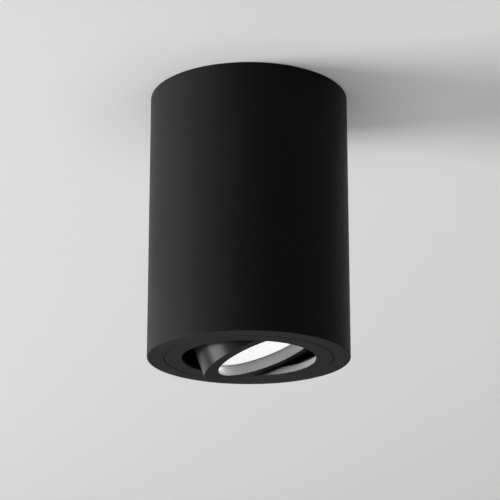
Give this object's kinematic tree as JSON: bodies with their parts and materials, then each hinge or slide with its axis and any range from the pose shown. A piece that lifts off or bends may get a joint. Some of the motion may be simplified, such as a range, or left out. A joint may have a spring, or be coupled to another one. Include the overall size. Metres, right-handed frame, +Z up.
{
  "type": "surface mounted ceiling spotlight",
  "caption": "Black cylindrical ceiling spotlight with a flush swivelling trim ring in its open end and a tilting lamp cup set in the ring.",
  "frame": {"origin": "centre of the cylinder's top, on the plane of the ceiling", "axes": "+Z up out of the ceiling face, along the cylinder's axis, so that the lamp hangs towards -Z; Y along the tilt axis; the beam leans towards +X"},
  "size_m": [0.088, 0.088, 0.1278],
  "materials": {
    "black_powder_coat": "fine textured matt powder coat on aluminium",
    "black_satin_enamel": "smooth satin enamel on aluminium",
    "zinc_plated_steel": "bright zinc plate",
    "black_oxide_steel": "black oxide on steel",
    "spring_steel": "polished stainless spring steel",
    "brass": "plain brass",
    "tinned_copper": "tinned copper",
    "black_rubber": "soft matt rubber",
    "white_polyamide": "natural polyamide",
    "black_nylon": "nylon",
    "opal_lens": "opal diffusing plastic, lit from behind",
    "white_lamp_body": "white thermoplastic over an aluminium core",
    "white_circuit_board": "white solder mask",
    "led_phosphor": "yellow phosphor",
    "green_circuit_board": "green solder mask",
    "capacitor_sleeve": "shrink sleeve",
    "ferrite": "wound ferrite core",
    "glazed_ceramic": "unglazed steatite ceramic"
  },
  "bodies": {
    "housing": {"housing": "black_powder_coat", "mounting_plate": "zinc_plated_steel", "side_screws": "black_oxide_steel", "cable_grommet": "black_rubber", "terminal_block": "white_polyamide", "terminal_clamp_live": "brass", "terminal_clamp_neutral": "brass", "terminal_clamp_earth": "brass", "terminal_screws": "zinc_plated_steel", "terminal_fixing_screws": "zinc_plated_steel", "earth_screw": "zinc_plated_steel", "earth_washer": "zinc_plated_steel", "earth_tag": "tinned_copper"},
    "ring": {"trim_ring": "black_powder_coat", "pivot_bracket_left": "zinc_plated_steel", "pivot_bracket_right": "zinc_plated_steel", "bracket_screws": "zinc_plated_steel", "retaining_spring_1": "spring_steel", "retaining_spring_2": "spring_steel", "retaining_spring_3": "spring_steel", "retaining_spring_4": "spring_steel", "spring_screws": "zinc_plated_steel"},
    "head": {"lamp_cup": "black_satin_enamel", "pivot_screws": "zinc_plated_steel", "friction_washers": "black_nylon", "lamp_clip": "spring_steel", "lamp_lens": "opal_lens", "lamp_shell": "white_lamp_body", "led_board": "white_circuit_board", "leds": "led_phosphor", "driver_board": "green_circuit_board", "driver_capacitor": "capacitor_sleeve", "driver_inductor": "ferrite", "lamp_base": "white_lamp_body", "lamp_pins": "brass", "holder_body": "glazed_ceramic", "holder_cover": "glazed_ceramic", "holder_contact_left": "brass", "holder_contact_right": "brass", "holder_screws": "zinc_plated_steel"}
  },
  "joints": [
    {"name": "ring_swivel", "type": "hinge", "parent": "housing", "child": "ring", "pos_m": [0, 0, -0.12], "axis": [0, 0, 1], "range_deg": [-175, 175]},
    {"name": "head_tilt", "type": "hinge", "parent": "ring", "child": "head", "pos_m": [0, 0, -0.0987], "axis": [0, -1, 0], "range_deg": [-45, 5]}
  ]
}
